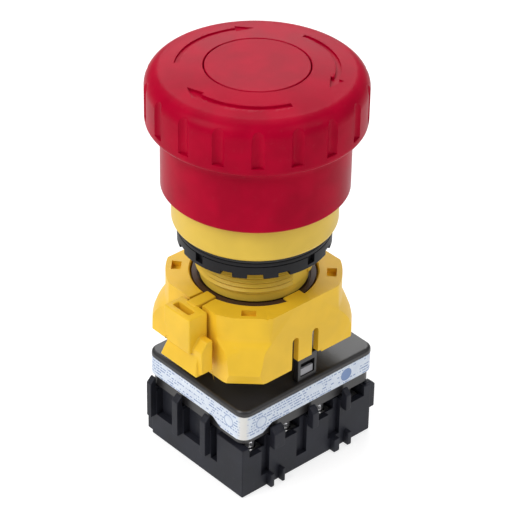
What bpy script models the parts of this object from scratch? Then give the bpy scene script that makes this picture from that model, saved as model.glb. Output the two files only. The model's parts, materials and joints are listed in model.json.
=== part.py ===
"""Panel-mount emergency stop button: turn-to-reset mushroom head, threaded operator and contact unit.

Every dimension is in millimetres and is turned to metres where a mesh is made.
The operator's axis is the world Z axis, and the contact block stands on z = 0.
-Y is the block's long face with the snap finger, and -X is the face with the lever lock.
"""
import math

import bmesh
import bpy
from mathutils import Vector

MM = 0.001
FINE = 48
COARSE = 12
CLEAR = 0.3

# Mushroom head
BRIM_RADIUS = 20.0
SKIRT_RADIUS = 17.25
SKIRT_BORE = 15.65
CAP_TOP = 81.0
SKIRT_BOTTOM = 56.8
DOME_RADIUS = 16.8
SHOULDER_FOOT = 77.1
FLUTE_RADIUS = 1.45
FLUTE_CENTRE = 20.85
FLUTE_FOOT = 71.7
ARROW_FLOOR = 80.05
DISC_RADIUS = 9.4
DISC_SEAT = 79.4
FLUTES = 18
FLUTE_PHASE = math.radians(-131.0)
ARROW_TAILS = (134.0, 13.0, -107.0)
ARROW_SWEEP = 86.0

# Operator
COLLAR_RADIUS = 15.3
COLLAR_TOP = 61.6
PANEL_FACE = 49.4
THREAD_RADIUS = 10.95
THREAD_END = 39.2
NECK_END = 37.3
OPERATOR_BORE = 8.2
SPRING_SEAT = 54.0
SPINDLE_RADIUS = 5.9
SPINDLE_END = 36.0
SPINDLE_CONE = 54.2
SPRING_COLLAR = 57.0
LATCH_HEIGHT = 51.9
RING_BOTTOM = 45.2
RING_TOP = 47.5
RING_RADIUS = 14.25

# Bayonet base and lever lock
BASE_TOP = 37.84
BASE_BOTTOM = 24.0
BASE_WALL = 1.3
BASE_SIDES = {"-x": 15.05, "+x": 14.2, "-y": 14.3, "+y": 13.2}
CORNER_RADIUS = 16.4
LOBE_RADIUS = 18.4
LEFT_LOBE_EXTRA = 0.45
LOBE_TOP = 27.8
CORNER_FOOT = 33.2
FRONT_TURN = math.radians(-133.0)
FRONT_FACET = 17.6
BASE_HOLE = 11.9
BASE_CEILING = 36.2
FINGER_SLOTS = ((-3.1, -1.55), (1.8, 3.35))
FINGER_SLOT_TOP = 30.7
FINGER_END = 25.25
FINGER_GAP_END = 4.4
POCKET_TURNS = (-135, -45, 45, 135)
POCKET_RADII = (13.45, 15.35)
POCKET_HALF = 1.45
LOCK_FACE = -19.9

# Contact block
BLOCK_LOW = Vector((-15.0, -14.4))
COVER_HIGH = Vector((18.4, 13.2))
TERMINAL_HIGH = Vector((17.7, 11.9))
COVER_CORNER = 2.2
BLOCK_TOP = 19.5
COVER_BOTTOM = 11.9
LABEL_BOTTOM = 14.35
LABEL_TOP = 18.2
LABEL_DROP = 1.35
LABEL_INSET = 0.45
PLATEAU_TOP = 23.7
TERMINAL_TOP = 11.0
POLES = (-6.0, -2.0, 2.0, 6.0)
FRONT_TERMINALS = (-11.0, -2.2, 6.4, 13.6)
REAR_TERMINALS = (-10.7, -3.9, 4.9, 13.6)
TERMINAL_OFFSET = 11.2
REAR_OFFSET = 8.7
BRIDGE_TOP = 14.3
BLOCK_SCREWS = ((-11.2, -1.2), (13.4, -1.2))
FRONT_SLOTS = ((-10.3, -8.3), (-1.4, 1.1), (6.7, 9.6))
LEFT_SLOTS = ((4.7, 10.4), (-3.4, 2.5))
RIGHT_SLOTS = ((-6.0, 0.0), (1.6, 7.4))
FRONT_RIBS = ((-8.3, -5.6), (1.3, 2.9), (9.9, 11.2))
FRONT_RIB_FOOT = 8.8
FRONT_FEET = ((-8.8, -7.9), (-5.9, -5.2), (7.4, 8.8), (10.9, 11.9))
REAR_RIBS = ((-14.9, -13.8), (-8.0, -6.8), (-1.3, 0.2), (8.0, 10.4))
LEFT_RIBS = ((10.6, 11.85), (2.8, 4.4), (-5.2, -3.7))
RIGHT_RIBS = ((-14.3, -13.1), (-7.8, -6.2), (0.2, 1.4), (7.6, 9.0))

FINISHES = {
    "red_plastic": ((0.52, 0.008, 0.03), 0.38, 0.0),
    "yellow_plastic": ((0.83, 0.47, 0.02), 0.42, 0.0),
    "black_plastic": ((0.012, 0.012, 0.014), 0.45, 0.0),
    "black_rubber": ((0.01, 0.01, 0.01), 0.75, 0.0),
    "label_paper": ((0.78, 0.82, 0.88), 0.5, 0.0),
    "steel": ((0.6, 0.6, 0.62), 0.3, 1.0),
    "brass": ((0.72, 0.5, 0.22), 0.32, 1.0),
    "white_plastic": ((0.8, 0.8, 0.76), 0.45, 0.0),
}


def make_materials():
    made = {}
    for name, (colour, roughness, metallic) in FINISHES.items():
        material = bpy.data.materials.new(name)
        material.use_nodes = True
        shader = material.node_tree.nodes["Principled BSDF"]
        shader.inputs["Base Color"].default_value = (*colour, 1.0)
        shader.inputs["Roughness"].default_value = roughness
        shader.inputs["Metallic"].default_value = metallic
        made[name] = material
    return made


def solid(name, shapes, finish=None, origin=(0, 0, 0), smooth=False):
    """An object from (points, faces) shapes in millimetres, with its origin where it moves about."""
    mesh = bpy.data.meshes.new(name)
    work = bmesh.new()
    base = Vector(origin)
    for points, faces in shapes:
        verts = [work.verts.new((Vector(point) - base) * MM) for point in points]
        for face in faces:
            work.faces.new([verts[index] for index in face])
    bmesh.ops.recalc_face_normals(work, faces=work.faces)
    work.to_mesh(mesh)
    work.free()
    if smooth:
        mesh.shade_smooth()
        mesh.set_sharp_from_angle(angle=math.radians(35))
    obj = bpy.data.objects.new(name, mesh)
    obj.location = base * MM
    bpy.context.scene.collection.objects.link(obj)
    if finish:
        mesh.materials.append(MATERIALS[finish])
    return obj


def value(term, angle):
    return term(angle) if callable(term) else term


def turned(profile, segments=FINE, closed=True, centre=(0, 0)):
    """A profile of (radius, height) turned about Z. Either term may be a function of the angle."""
    points, rows = [], []
    for radius, height in profile:
        if radius == 0:
            rows.append([len(points)] * segments)
            points.append((*centre, value(height, 0.0)))
            continue
        rows.append([len(points) + step for step in range(segments)])
        for step in range(segments):
            angle = 2 * math.pi * step / segments
            reach = value(radius, angle)
            x, y = centre[0] + reach * math.cos(angle), centre[1] + reach * math.sin(angle)
            points.append((x, y, value(height, angle)))
    pairs = list(zip(rows, rows[1:] + rows[:1] if closed else rows[1:]))
    faces = []
    for lower, upper in pairs:
        for step in range(segments):
            after = (step + 1) % segments
            corners = [lower[step], lower[after], upper[after], upper[step]]
            face = list(dict.fromkeys(corners))
            if len(face) > 2:
                faces.append(face)
    return points, faces


def prism(outline, low, high):
    """An outline of (x, y) points, with the first height below and the second above."""
    count = len(outline)
    points = [(x, y, low) for x, y in outline] + [(x, y, high) for x, y in outline]
    faces = [list(range(count))[::-1], list(range(count, 2 * count))]
    for step in range(count):
        after = (step + 1) % count
        faces.append([step, after, count + after, count + step])
    return points, faces


def box(low, high):
    corners = [(low[0], low[1]), (high[0], low[1]), (high[0], high[1]), (low[0], high[1])]
    return prism(corners, low[2], high[2])


def rod(centre, radius, low, high, segments=COARSE):
    return turned([(0, low), (radius, low), (radius, high), (0, high)], segments, False, centre)


def laid(shape, height):
    """A shape built upright about Z, laid down so that its axis is Y at a height."""
    points, faces = shape
    return [(x, z, height + y) for x, y, z in points], faces


def rounded_rectangle(low, high, radius, steps=5):
    outline = []
    corners = ((high[0], low[1], -90), (high[0], high[1], 0))
    corners += ((low[0], high[1], 90), (low[0], low[1], 180))
    for x, y, start in corners:
        cx = x - math.copysign(radius, x - (low[0] + high[0]) / 2)
        cy = y - math.copysign(radius, y - (low[1] + high[1]) / 2)
        for step in range(steps + 1):
            angle = math.radians(start + 90 * step / steps)
            outline.append((cx + radius * math.cos(angle), cy + radius * math.sin(angle)))
    return outline


def base_reach(circle, inset=0.0):
    """How far the bayonet base reaches at an angle: four flats and a front facet inside a circle."""
    def reach(angle):
        x, y = math.cos(angle), math.sin(angle)
        is_left_lobe = x < 0 < y and circle == LOBE_RADIUS
        flats = [circle + (LEFT_LOBE_EXTRA if is_left_lobe else 0.0)]
        for along, positive, negative in ((x, "+x", "-x"), (y, "+y", "-y")):
            if abs(along) > 1e-9:
                flats.append(BASE_SIDES[positive if along > 0 else negative] / abs(along))
        towards_front = math.cos(angle - FRONT_TURN)
        if towards_front > 0.5:
            flats.append(FRONT_FACET / towards_front)
        return min(flats) - inset
    return reach


def helix(centre, radius, low, high, turns, wire, sides=6, steps=14):
    """A round wire coiled about Z, with flat ends to the wire."""
    points, faces = [], []
    count = int(turns * steps)
    for step in range(count + 1):
        share = step / count
        angle = 2 * math.pi * turns * share
        height = low + wire + (high - low - 2 * wire) * share
        for side in range(sides):
            turn = 2 * math.pi * side / sides
            reach = radius + wire * math.cos(turn)
            x, y = centre[0] + reach * math.cos(angle), centre[1] + reach * math.sin(angle)
            points.append((x, y, height + wire * math.sin(turn)))
    for step in range(count):
        for side in range(sides):
            after = (side + 1) % sides
            here, there = step * sides, (step + 1) * sides
            faces.append([here + side, here + after, there + after, there + side])
    faces.append(list(range(sides)))
    faces.append([count * sides + side for side in range(sides)])
    return points, faces


def combine(target, operation, shapes, smooth=False):
    """Cuts shapes from a target or adds them to it, through a hidden helper object."""
    name = f"{target.name}_{operation.lower()}"
    helper = solid(name, shapes, smooth=smooth)
    helper.hide_render = True
    helper.display_type = "WIRE"
    modifier = target.modifiers.new(name, "BOOLEAN")
    modifier.operation = operation
    modifier.solver = "EXACT"
    modifier.use_self = True
    modifier.object = helper
    return target


def arrow_outline(tail):
    """One curved arrow that points clockwise seen from above, as an outline of (x, y) points."""
    inner, outer, head_in, head_out, mid = 13.82, 14.68, 12.9, 15.5, 14.25
    neck = tail - ARROW_SWEEP * 0.8
    steps = 7
    angles = [tail + (neck - tail) * step / steps for step in range(steps + 1)]
    spots = [(outer, angle) for angle in angles]
    spots += [(head_out, neck), (mid, tail - ARROW_SWEEP), (head_in, neck)]
    spots += [(inner, angle) for angle in reversed(angles)]
    return [(r * math.cos(math.radians(a)), r * math.sin(math.radians(a))) for r, a in spots][::-1]


def mushroom_head():
    def dome(radius):
        reach = radius - DISC_RADIUS - 0.2
        return CAP_TOP - 0.085 * reach - 0.004 * reach ** 2
    width, drop = BRIM_RADIUS - DOME_RADIUS, dome(DOME_RADIUS) - SHOULDER_FOOT
    shoulder = [
        (DOME_RADIUS + width * math.sin(turn), SHOULDER_FOOT + drop * math.cos(turn))
        for turn in [math.radians(22.5 * step) for step in range(5)]
    ]
    profile = [(1.9, 76.0), (1.9, 77.0), (3.5, 77.0), (3.5, DISC_SEAT), (DISC_RADIUS + 0.2, DISC_SEAT)]
    profile += [(DISC_RADIUS + 0.2, CAP_TOP), (13.2, dome(13.2)), *shoulder, (BRIM_RADIUS, 71.0)]
    profile += [(19.9, 70.5), (19.2, 69.9), (17.9, 69.4), (17.4, 68.6), (SKIRT_RADIUS, 67.4)]
    profile += [(SKIRT_RADIUS, SKIRT_BOTTOM + 0.4), (SKIRT_RADIUS - 0.4, SKIRT_BOTTOM)]
    profile += [(SKIRT_BORE, SKIRT_BOTTOM), (SKIRT_BORE, 74.8), (14.4, 76.0), (11.0, 76.0)]
    profile += [(11.0, 68.3), (8.4, 68.3), (8.4, 76.0)]
    cap = solid("mushroom_cap", [turned(profile)], "red_plastic", (0, 0, CAP_TOP), True)
    flutes = []
    for step in range(FLUTES):
        angle = FLUTE_PHASE + 2 * math.pi * step / FLUTES
        spot = (FLUTE_CENTRE * math.cos(angle), FLUTE_CENTRE * math.sin(angle))
        flutes.append(rod(spot, FLUTE_RADIUS, FLUTE_FOOT, CAP_TOP + 1))
    arrows = [prism(arrow_outline(tail), ARROW_FLOOR, CAP_TOP + 1) for tail in ARROW_TAILS]
    combine(cap, "DIFFERENCE", flutes + arrows)
    foot = DISC_SEAT + CLEAR
    disc = [(0, foot), (DISC_RADIUS, foot), (DISC_RADIUS, CAP_TOP), (0, CAP_TOP)]
    solid("centre_disc", [turned(disc, FINE, False)], "red_plastic", (0, 0, CAP_TOP), True)
    screw = [(0, 69.0), (1.5, 69.0), (1.5, 77.3), (3.1, 77.3), (3.1, 78.4), (2.4, 79.0), (0, 79.1)]
    head = solid("cap_screw", [turned(screw, COARSE, False)], "steel", (0, 0, 77.3), True)
    recess = [box((-1.8, -0.3, 78.2), (1.8, 0.3, 80)), box((-0.3, -1.8, 78.2), (0.3, 1.8, 80))]
    combine(head, "DIFFERENCE", recess)


def spindle_parts():
    profile = [(0, SPINDLE_END), (SPINDLE_RADIUS, SPINDLE_END), (SPINDLE_RADIUS, SPINDLE_CONE)]
    profile += [(7.55, SPRING_COLLAR), (6.0, 57.4), (6.0, 75.7), (1.9, 75.7), (1.9, 68.0), (0, 68.0)]
    solid("spindle", [turned(profile, 24, False)], "white_plastic", (0, 0, SPINDLE_END), True)
    coil = helix((0, 0), 7.2, 58.4, 67.8, 4.5, 0.32, 4, 12)
    solid("reset_torsion_spring", [coil], "steel", (0, 0, 58.4), True)
    coil = helix((0, 0), 9.6, SPRING_SEAT + CLEAR, 68.0, 5, 0.55, 5, 14)
    solid("return_spring", [coil], "steel", (0, 0, SPRING_SEAT + CLEAR), True)
    pusher = [(0, 31.2), (7.2, 31.2), (7.6, 31.7), (7.6, 35.0), (6.8, 35.7), (0, 35.7)]
    solid("contact_pusher", [turned(pusher, 24, False)], "white_plastic", (0, 0, 31.2), True)


def operator():
    profile = [(9.1, 33.0), (9.1, 37.0), (10.2, NECK_END)]
    profile += [(10.2, THREAD_END - 0.4), (THREAD_RADIUS, THREAD_END)]
    profile += [(THREAD_RADIUS, PANEL_FACE), (COLLAR_RADIUS - 0.5, PANEL_FACE)]
    profile += [(COLLAR_RADIUS, PANEL_FACE + 0.5), (COLLAR_RADIUS, COLLAR_TOP - 0.6)]
    profile += [(14.4, COLLAR_TOP), (11.3, COLLAR_TOP), (11.3, SPRING_SEAT)]
    profile += [(OPERATOR_BORE, SPRING_SEAT), (OPERATOR_BORE, 33.0)]
    housing = solid("operator_housing", [turned(profile)], "yellow_plastic", (0, 0, PANEL_FACE), True)
    pocket = [(0, 7.0), (1.35, 7.0), (1.35, 13.9), (0, 13.9)]
    mirror_pocket = [(radius, -reach) for radius, reach in pocket]
    pockets = [laid(turned(shape, 16, False), LATCH_HEIGHT) for shape in (pocket, mirror_pocket)]
    combine(housing, "DIFFERENCE", pockets)
    for side, name in ((1, "rear"), (-1, "front")):
        pin = [(0, 6.8), (0.6, 6.8), (1.0, 7.2), (1.0, 9.6), (0, 9.6)]
        shape = laid(turned([(radius, side * reach) for radius, reach in pin], 16, False), LATCH_HEIGHT)
        solid(f"latch_pin_{name}", [shape], "steel", (0, side * 8.2, LATCH_HEIGHT), True)
        points, faces = helix((0, 0), 0.75, 9.8, 13.6, 4, 0.2, 4, 8)
        coil = laid(([(x, y, side * z) for x, y, z in points], faces), LATCH_HEIGHT)
        solid(f"latch_spring_{name}", [coil], "steel", (0, side * 9.8, LATCH_HEIGHT), True)

    def ramp(angle):
        share = (angle % math.pi) / math.pi
        return 48.4 + 1.5 * min(1.0, share * 1.25, (1 - share) * 8)
    sleeve = [(6.4, 38.0), (7.9, 38.0), (7.9, ramp), (6.4, ramp)]
    solid("cam_sleeve", [turned(sleeve, 36)], "white_plastic", (0, 0, 38.0), True)
    seal = [(11.9, 61.95), (14.0, 61.95), (14.0, 62.5), (13.2, 63.0), (12.5, 63.0), (11.9, 62.5)]
    solid("dust_seal", [turned(seal, 36)], "black_rubber", (0, 0, 61.95), True)
    gasket = [(11.25, 48.5), (14.2, 48.5), (14.2, 49.1), (11.25, 49.1)]
    solid("panel_gasket", [turned(gasket, 36)], "black_rubber", (0, 0, 48.5), True)
    washer = [(11.25, 47.8), (14.2, 47.8), (14.2, 48.2), (11.25, 48.2)]
    solid("clamp_washer", [turned(washer, 36)], "black_plastic", (0, 0, 47.8), True)
    locking_ring()


def locking_ring():
    """Four long and eight short lugs along the lower edge, as on a ring that takes a pin wrench."""
    edges = ((-19, 19), (28, 39), (51, 62))

    def lower(angle):
        turn = (math.degrees(angle) + 45) % 90 - 45
        turn = turn if turn > -19.5 else turn + 90
        return RING_BOTTOM if any(low <= turn <= high for low, high in edges) else RING_BOTTOM + 0.9
    profile = [(11.25, lower), (RING_RADIUS - 0.3, lower), (RING_RADIUS, lambda a: lower(a) + 0.3)]
    profile += [(RING_RADIUS, RING_TOP), (11.25, RING_TOP)]
    solid("locking_ring", [turned(profile, FINE * 3 // 2)], "black_plastic", (0, 0, RING_BOTTOM), True)


def bayonet_base():
    low, high = base_reach(LOBE_RADIUS), base_reach(CORNER_RADIUS)
    inner_low, inner_high = base_reach(LOBE_RADIUS, BASE_WALL), base_reach(CORNER_RADIUS, BASE_WALL)
    profile = [(low, BASE_BOTTOM), (low, LOBE_TOP), (high, CORNER_FOOT), (high, BASE_TOP)]
    profile += [(BASE_HOLE, BASE_TOP), (BASE_HOLE, BASE_CEILING)]
    profile += [(inner_high, BASE_CEILING - 0.2), (inner_high, CORNER_FOOT - 0.6)]
    profile += [(inner_low, LOBE_TOP - 0.6), (inner_low, BASE_BOTTOM)]
    base = solid("bayonet_base", [turned(profile)], "yellow_plastic", (0, 0, BASE_BOTTOM))
    cuts = [box((x_low, -16, 23), (x_high, -11.5, FINGER_SLOT_TOP)) for x_low, x_high in FINGER_SLOTS]
    finger_low = FINGER_SLOTS[0][1]
    cuts.append(box((finger_low - 0.05, -16, 23), (FINGER_GAP_END, -11.5, FINGER_END)))
    cuts.append(box((-16, -2.85, 35.7), (-11.0, 0.5, 39)))
    inner, outer = POCKET_RADII
    for turn in map(math.radians, POCKET_TURNS):
        out, along = Vector((math.cos(turn), math.sin(turn))), Vector((-math.sin(turn), math.cos(turn)))
        half = POCKET_HALF
        corners = ((inner, -half), (outer, -half), (outer, half), (inner, half))
        cuts.append(prism([tuple(out * reach + along * side) for reach, side in corners], 36.6, 39))
    combine(base, "DIFFERENCE", cuts)
    combine(base, "UNION", [box((-2.1, -12.3, 37.3), (1.6, -10.6, BASE_TOP - 0.05))])
    ring = [(9.4, 31.0), (10.9, 31.0), (10.9, 37.0), (9.4, 37.0)]
    bayonet = solid("bayonet_ring", [turned(ring, 36)], "black_plastic", (0, 0, 31.0), True)
    notches = [box((-1.5, -12, 29), (1.5, 12, 33)), box((-12, -1.5, 29), (12, 1.5, 33))]
    combine(bayonet, "DIFFERENCE", notches)


def lever_lock():
    top, bottom = (LOCK_FACE, -15.5), (LOCK_FACE, -16.0)
    foot_points = []
    for (outer, inner), low_y, high_y, height in ((bottom, -6.9, 3.3, 26.0), (top, -5.2, 2.2, 31.2)):
        foot_points += [(outer, low_y, height), (inner, low_y, height)]
        foot_points += [(inner, high_y, height), (outer, high_y, height)]
    foot_faces = box((0, 0, 0), (1, 1, 1))[1]
    lock = solid("lever_lock", [(foot_points, foot_faces)], "yellow_plastic", (-17.7, -1.75, 37.0))
    handle = box((LOCK_FACE, -5.0, 30.6), (-15.6, 2.1, 37.7))
    arm = box((-15.9, -2.4, 36.3), (-11.25, 0.1, 38.0))
    cheek = box((-18.9, -7.35, 26.4), (-16.3, -4.6, 33.1))
    for step, shape in enumerate((handle, arm, cheek)):
        combine(lock, "UNION", [shape]).modifiers[-1].name = f"join_{step}"
    combine(lock, "DIFFERENCE", [box((-18.6, -3.4, 34.6), (-17.2, 1.0, 39))])


def block_outline(inset):
    low, high = BLOCK_LOW + Vector((inset, inset)), COVER_HIGH - Vector((inset, inset))
    return rounded_rectangle(low, high, COVER_CORNER - inset / 2)


def contact_block_cover():
    lid = prism(block_outline(0), 18.4, BLOCK_TOP)
    cover = solid("block_cover", [lid], "black_plastic", (0, 0, BLOCK_TOP))
    reach = base_reach(17.4, 0.6)
    plateau = [(0, 19.0), (reach, 19.0), (reach, PLATEAU_TOP), (0, PLATEAU_TOP)]
    added = [
        prism(block_outline(LABEL_INSET), COVER_BOTTOM, 18.6),
        turned(plateau, FINE, False),
        box((-0.7, -13.45, 19.0), (4.0, -12.0, 24.9)),
    ]
    combine(cover, "UNION", added)
    hollow = prism(block_outline(LABEL_INSET + 1.5), COVER_BOTTOM - 1, 17.8)
    slots = [box((x - 1.7, -2.5, 16), (x + 1.7, 2.5, 25)) for x in POLES]
    window = box((-0.07, -14, 20.4), (3.4, -12.4, 23.4))
    combine(cover, "DIFFERENCE", [hollow, *slots, window])
    bosses = [rod(spot, 2.0, 12.2, 18.2) for spot in BLOCK_SCREWS]
    combine(cover, "UNION", bosses).modifiers[-1].name = "screw_bosses"
    holes = [rod(spot, 1.25, 11, 17.0) for spot in BLOCK_SCREWS]
    combine(cover, "DIFFERENCE", holes).modifiers[-1].name = "screw_holes"


def label():
    """A paper band in the cover's recess. It hangs lower round the front corner."""
    inner = block_outline(LABEL_INSET - 0.15)
    outer = block_outline(0.05)
    points, count = [], len(outer)

    def foot(x, y):
        near = min(abs(x - BLOCK_LOW.x) + abs(y - BLOCK_LOW.y), 99)
        return LABEL_BOTTOM - LABEL_DROP * max(0.0, min(1.0, (8.2 - near) / 2.2))
    split = []
    for ring in (outer, inner):
        dense = []
        for step, start in enumerate(ring):
            end = ring[(step + 1) % count]
            length = math.dist(start, end)
            cuts = 12 if length > 6 else 1
            dense += [tuple(Vector(start).lerp(end, part / cuts)) for part in range(cuts)]
        split.append(dense)
    total = len(split[0])
    for ring in split:
        points += [(x, y, foot(x, y)) for x, y in ring] + [(x, y, LABEL_TOP) for x, y in ring]
    faces = []
    for step in range(total):
        after = (step + 1) % total
        rows = (0, total, 3 * total, 2 * total)
        for low, high in zip(rows, rows[1:] + rows[:1]):
            faces.append([low + step, low + after, high + after, high + step])
    solid("label_band", [(points, faces)], "label_paper", (0, 0, LABEL_TOP))


def terminal_base():
    low, high = BLOCK_LOW, TERMINAL_HIGH
    body = box((low.x, low.y, 0), (high.x, high.y, TERMINAL_TOP))
    base = solid("terminal_base", [body], "black_plastic", (0, 0, 0))
    cuts = [box((-8.5, -5.7, 2.7), (8.5, 5.6, 12))]
    rows = ((-TERMINAL_OFFSET, FRONT_TERMINALS, -15, -8.4), (REAR_OFFSET, REAR_TERMINALS, 12.5, 6.05))
    for y, spots, face, back in rows:
        inside = face + math.copysign(1.9, -face)
        for x in spots:
            half = 2.3
            ends = sorted((inside, back))
            cuts.append(box((x - half, ends[0], 4.0), (x + half, ends[1], 12)))
            near, far = sorted((face, back))
            cuts.append(box((x - half, near, 8.8), (x + half, far, 12)))
            cuts.append(rod((x, y), 1.7, -1, 5))
    for x_low, x_high in FRONT_SLOTS:
        cuts.append(box((x_low, -15, 3.0), (x_high, -13.4, 12)))
    for y_low, y_high in LEFT_SLOTS:
        cuts.append(box((-16, y_low, 5.2), (-13.5, y_high, 12)))
    cuts.append(box((-16, -7.2, 4.3), (-13.6, -5.4, 12)))
    for y_low, y_high in RIGHT_SLOTS:
        cuts.append(box((16.2, y_low, 5.2), (19, y_high, 12)))
    combine(base, "DIFFERENCE", cuts)
    ribs = []
    for x_low, x_high in FRONT_RIBS:
        ribs.append(box((x_low, -14.4, 3.0), (x_high, -13.2, 11.4)))
        ribs.append(box((x_low, -15.8, FRONT_RIB_FOOT), (x_high, -14.3, 13.4)))
    for x_low, x_high in FRONT_FEET:
        ribs.append(box((x_low, -15.6, 0), (x_high, -13.5, 3.0)))
    for x_low, x_high in REAR_RIBS:
        ribs.append(box((x_low, 11.0, 0.6), (x_high, 13.2, 11.4)))
    for y_low, y_high in LEFT_RIBS:
        ribs.append(box((-16.3, y_low, 5.0), (-13.2, y_high, 11.4)))
        ribs.append(box((-16.3, y_low, 11.0), (-14.95, y_high, 12.6)))
    for y_low, y_high in RIGHT_RIBS:
        ribs.append(box((16.5, y_low, 5.0), (18.9, y_high, 11.4)))
    for step, rib in enumerate(ribs):
        combine(base, "UNION", [rib]).modifiers[-1].name = f"rib_{step}"
    holes = []
    for spot in BLOCK_SCREWS:
        holes += [rod(spot, 1.25, -1, 12), rod(spot, 2.3, -1, 2.4)]
    combine(base, "DIFFERENCE", holes).modifiers[-1].name = "screw_holes"
    for step, spot in enumerate(BLOCK_SCREWS, 1):
        profile = [(0, 0.3), (1.9, 0.3), (1.9, 2.1), (0.95, 2.1), (0.95, 16.0), (0.5, 16.6), (0, 16.6)]
        shape = turned(profile, COARSE, False, spot)
        screw = solid(f"block_screw_{step}", [shape], "steel", (*spot, 0.3), True)
        x, y = spot
        combine(screw, "DIFFERENCE", [box((x - 1.5, y - 0.25, -1), (x + 1.5, y + 0.25, 0.9))])


def contacts():
    for step, x in enumerate(POLES, 1):
        plunger = box((x - 1.4, -2.2, BRIDGE_TOP + 0.75), (x + 1.4, 2.2, 30.9))
        solid(f"plunger_{step}", [plunger], "white_plastic", (x, 0, 30.9))
        bar = box((x - 1.1, -5.2, 13.6), (x + 1.1, 5.2, BRIDGE_TOP))
        bridge = solid(f"moving_contact_{step}", [bar], "brass", (x, 0, BRIDGE_TOP))
        tips = [rod((x, y), 0.8, 14.0, 14.65, 12) for y in (-4.3, 4.3)]
        combine(bridge, "UNION", tips)
        coil = helix((x, 0), 1.1, 3.0, 13.3, 6, 0.22, 4, 8)
        solid(f"contact_spring_{step}", [coil], "steel", (x, 0, 3.0), True)
    sides = (("front", -1, FRONT_TERMINALS, TERMINAL_OFFSET), ("rear", 1, REAR_TERMINALS, REAR_OFFSET))
    for name, side, spots, reach in sides:
        for step, (pole, spot) in enumerate(zip(POLES, spots), 1):
            terminal(f"{name}_{step}", side, pole, spot, reach, abs(pole) > 4)


def terminal(name, side, pole, spot, reach, is_outer):
    """A fixed contact: a leg in from the pole, a jog across, and a clamp plate under the screw."""
    def slab(x_low, x_high, near, far, low, high):
        y_low, y_high = sorted((side * near, side * far))
        return box((x_low, y_low, low), (x_high, y_high, high))
    back = reach - 2.2
    jog = 4.2 if is_outer else back - 0.9
    jog_low, jog_high = min(pole - 1.1, spot - 1.5), max(pole + 1.1, spot + 1.5)
    leg = solid(f"fixed_terminal_{name}", [slab(pole - 1.1, pole + 1.1, 3.5, jog + 0.5, 15.0, 15.6)],
                "brass", (spot, side * reach, 9.0))
    parts = [
        slab(jog_low, jog_high, jog, jog + 1.1, 15.0, 15.6),
        slab(spot - 1.5, spot + 1.5, jog + 0.4, back + 0.3, 15.0, 15.6),
        slab(spot - 1.5, spot + 1.5, back - 0.3, back + 0.3, 8.5, 15.4),
        slab(spot - 1.9, spot + 1.9, back - 0.3, reach + 1.7, 8.2, 8.8),
    ]
    for step, part in enumerate(parts):
        combine(leg, "UNION", [part]).modifiers[-1].name = f"bend_{step}"
    centre = (spot, side * reach)
    combine(leg, "DIFFERENCE", [rod(centre, 1.55, 7, 10)])
    profile = [(0, 4.6), (1.6, 4.6), (1.9, 5.0), (1.9, 6.4), (1.25, 6.4), (1.25, 10.1)]
    profile += [(0.9, 10.5), (0, 10.5)]
    shape = turned(profile, COARSE, False, centre)
    screw = solid(f"terminal_screw_{name}", [shape], "steel", (*centre, 4.6), True)
    x, y = centre
    combine(screw, "DIFFERENCE", [box((x - 1.5, y - 0.25, 4), (x + 1.5, y + 0.25, 5.4))])


for leftover in list(bpy.data.objects):
    bpy.data.objects.remove(leftover)
MATERIALS = make_materials()
mushroom_head()
spindle_parts()
operator()
bayonet_base()
lever_lock()
contact_block_cover()
label()
terminal_base()
contacts()
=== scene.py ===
# %% [markdown]
# # A mushroom-head emergency stop button
#
# This lesson dresses the imported CAD model of an emergency stop button. The CAD solids say where
# every part is and how it moves. Here the outer mouldings and the cap's fixing screw are modelled
# again with the detail that a close view needs; they and the carried-over springs, screws and inner
# parts get finishes made only from shader nodes.

# %% Load the frame
import json
import math

import bpy
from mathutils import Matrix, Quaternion, Vector

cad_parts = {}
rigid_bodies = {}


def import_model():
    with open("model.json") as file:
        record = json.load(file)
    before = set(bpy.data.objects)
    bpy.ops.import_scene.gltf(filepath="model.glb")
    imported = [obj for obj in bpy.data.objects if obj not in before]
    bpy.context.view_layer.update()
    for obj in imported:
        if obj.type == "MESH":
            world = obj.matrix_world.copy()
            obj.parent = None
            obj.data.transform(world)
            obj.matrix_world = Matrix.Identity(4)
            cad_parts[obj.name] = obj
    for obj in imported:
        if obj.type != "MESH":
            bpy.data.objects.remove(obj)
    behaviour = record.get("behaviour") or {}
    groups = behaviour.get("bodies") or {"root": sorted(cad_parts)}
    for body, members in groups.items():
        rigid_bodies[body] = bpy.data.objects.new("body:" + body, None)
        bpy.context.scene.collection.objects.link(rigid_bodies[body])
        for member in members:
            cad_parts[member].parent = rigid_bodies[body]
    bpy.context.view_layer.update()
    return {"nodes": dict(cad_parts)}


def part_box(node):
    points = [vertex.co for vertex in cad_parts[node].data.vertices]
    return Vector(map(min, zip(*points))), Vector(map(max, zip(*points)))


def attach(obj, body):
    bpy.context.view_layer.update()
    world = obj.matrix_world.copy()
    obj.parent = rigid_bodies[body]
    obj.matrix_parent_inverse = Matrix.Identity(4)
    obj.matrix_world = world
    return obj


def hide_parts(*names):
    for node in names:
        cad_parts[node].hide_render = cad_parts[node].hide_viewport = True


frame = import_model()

MM = 0.001

# %% [markdown]
# ## Driving sizes
#
# All sizes are in millimetres, and are turned to metres only where a mesh is made. The axis of the
# operator is the Z axis, and the contact block stands on z = 0. The heights that both the mesh and
# the CAD model need are read from the frame, so the two can't drift apart.

# %% Heights and radii
def top_of(node):
    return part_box(node)[1].z / MM


def foot_of(node):
    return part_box(node)[0].z / MM


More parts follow.
